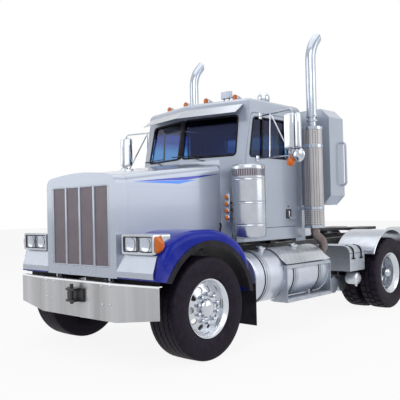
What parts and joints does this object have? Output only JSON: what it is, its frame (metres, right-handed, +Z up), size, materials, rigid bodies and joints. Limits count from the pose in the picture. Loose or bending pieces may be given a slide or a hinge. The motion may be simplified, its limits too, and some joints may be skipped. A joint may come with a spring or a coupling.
{
  "type": "semi truck tractor unit",
  "caption": "Conventional long-nosed tractor unit with a tilting hood, swing doors, steered front wheels, tandem drive wheels, a rocking fifth wheel and upright exhaust stacks.",
  "frame": {"origin": "on the ground under the middle of the truck's length and width", "axes": "+X towards the driver's left side, -Y towards the nose, +Z up"},
  "size_m": [3.168, 6.85, 3.8743],
  "materials": {
    "frame_paint": "satin",
    "black_paint": "satin",
    "engine_paint": "satin",
    "body_paint": "gloss",
    "blue_paint": "gloss",
    "polished_metal": "polished",
    "bare_aluminium": "satin",
    "greased_steel": "greased",
    "chrome": "polished",
    "grille_mesh": "satin",
    "tyre": "matt",
    "black_rubber": "matt",
    "glass": "tinted",
    "lamp_glass": "clear",
    "amber_lens": "gloss",
    "cab_trim": "matt",
    "seat_cloth": "woven"
  },
  "bodies": {
    "chassis": {"frame_rails": "frame_paint", "crossmembers": "frame_paint", "bumper": "polished_metal", "tow_hitch": "black_paint", "powertrain": "engine_paint", "front_axle": "frame_paint", "suspension": "frame_paint", "drive_axles": "frame_paint", "cab_floor": "body_paint", "cab_front": "body_paint", "cab_back": "body_paint", "cab_roof": "body_paint", "cab_glass": "glass", "visor": "polished_metal", "dashboard": "cab_trim", "steering_wheel": "cab_trim", "seat_bases": "black_paint", "seats": "seat_cloth", "marker_lamps": "amber_lens", "air_cleaners": "chrome", "exhaust_stacks": "chrome", "fuel_tanks": "polished_metal", "tank_saddles": "black_paint", "tank_steps": "bare_aluminium", "tool_boxes": "bare_aluminium", "air_tanks": "black_paint", "rear_cabinet": "body_paint", "rear_fenders": "polished_metal", "mud_flaps": "black_rubber", "fifth_wheel_base": "black_paint"},
    "hood": {"hood": "body_paint", "radiator_shell": "body_paint", "grille": "grille_mesh", "front_fenders": "blue_paint", "fender_lips": "black_rubber", "fender_guards": "body_paint", "headlamps": "chrome", "lamp_lenses": "lamp_glass"},
    "fifth_wheel": {"fifth_wheel_plate": "greased_steel"},
    "door_left": {"door_left": "body_paint", "door_glass_left": "glass", "mirror_left": "chrome"},
    "knuckle_left": {"knuckle_left": "frame_paint"},
    "wheel_front_left": {"tyre_front_left": "tyre", "rim_front_left": "polished_metal"},
    "wheels_first_left": {"tyres_first_left": "tyre", "rims_first_left": "polished_metal"},
    "wheels_second_left": {"tyres_second_left": "tyre", "rims_second_left": "polished_metal"},
    "door_right": {"door_right": "body_paint", "door_glass_right": "glass", "mirror_right": "chrome"},
    "knuckle_right": {"knuckle_right": "frame_paint"},
    "wheel_front_right": {"tyre_front_right": "tyre", "rim_front_right": "polished_metal"},
    "wheels_first_right": {"tyres_first_right": "tyre", "rims_first_right": "polished_metal"},
    "wheels_second_right": {"tyres_second_right": "tyre", "rims_second_right": "polished_metal"}
  },
  "joints": [
    {"name": "hood_tilt", "type": "hinge", "parent": "chassis", "child": "hood", "pos_m": [0, -3.245, 0.835], "axis": [1, 0, 0], "range_deg": [0, 55]},
    {"name": "fifth_wheel_rock", "type": "hinge", "parent": "chassis", "child": "fifth_wheel", "pos_m": [0, 2.185, 1.118], "axis": [1, 0, 0], "range_deg": [-10, 10]},
    {"name": "door_left_swing", "type": "hinge", "parent": "chassis", "child": "door_left", "pos_m": [0.898, -1.542, 1.725], "axis": [0, 0, -1], "range_deg": [0, 65]},
    {"name": "steer_left", "type": "hinge", "parent": "chassis", "child": "knuckle_left", "pos_m": [0.87, -2.575, 0.527], "axis": [0, 0, 1], "range_deg": [-32, 32]},
    {"name": "spin_front_left", "type": "hinge", "parent": "knuckle_left", "child": "wheel_front_left", "pos_m": [1.025, -2.575, 0.527], "axis": [1, 0, 0], "continuous": true},
    {"name": "spin_first_left", "type": "hinge", "parent": "chassis", "child": "wheels_first_left", "pos_m": [0.9085, 1.475, 0.527], "axis": [1, 0, 0], "continuous": true},
    {"name": "spin_second_left", "type": "hinge", "parent": "chassis", "child": "wheels_second_left", "pos_m": [0.9085, 2.795, 0.527], "axis": [1, 0, 0], "continuous": true},
    {"name": "door_right_swing", "type": "hinge", "parent": "chassis", "child": "door_right", "pos_m": [-0.898, -1.542, 1.725], "axis": [0, 0, 1], "range_deg": [0, 65]},
    {"name": "steer_right", "type": "hinge", "parent": "chassis", "child": "knuckle_right", "pos_m": [-0.87, -2.575, 0.527], "axis": [0, 0, 1], "range_deg": [-32, 32]},
    {"name": "spin_front_right", "type": "hinge", "parent": "knuckle_right", "child": "wheel_front_right", "pos_m": [-1.025, -2.575, 0.527], "axis": [1, 0, 0], "continuous": true},
    {"name": "spin_first_right", "type": "hinge", "parent": "chassis", "child": "wheels_first_right", "pos_m": [-0.9085, 1.475, 0.527], "axis": [1, 0, 0], "continuous": true},
    {"name": "spin_second_right", "type": "hinge", "parent": "chassis", "child": "wheels_second_right", "pos_m": [-0.9085, 2.795, 0.527], "axis": [1, 0, 0], "continuous": true}
  ],
  "couplings": [
    {"joint": "steer_right", "follows": "steer_left", "ratio": 1}
  ]
}
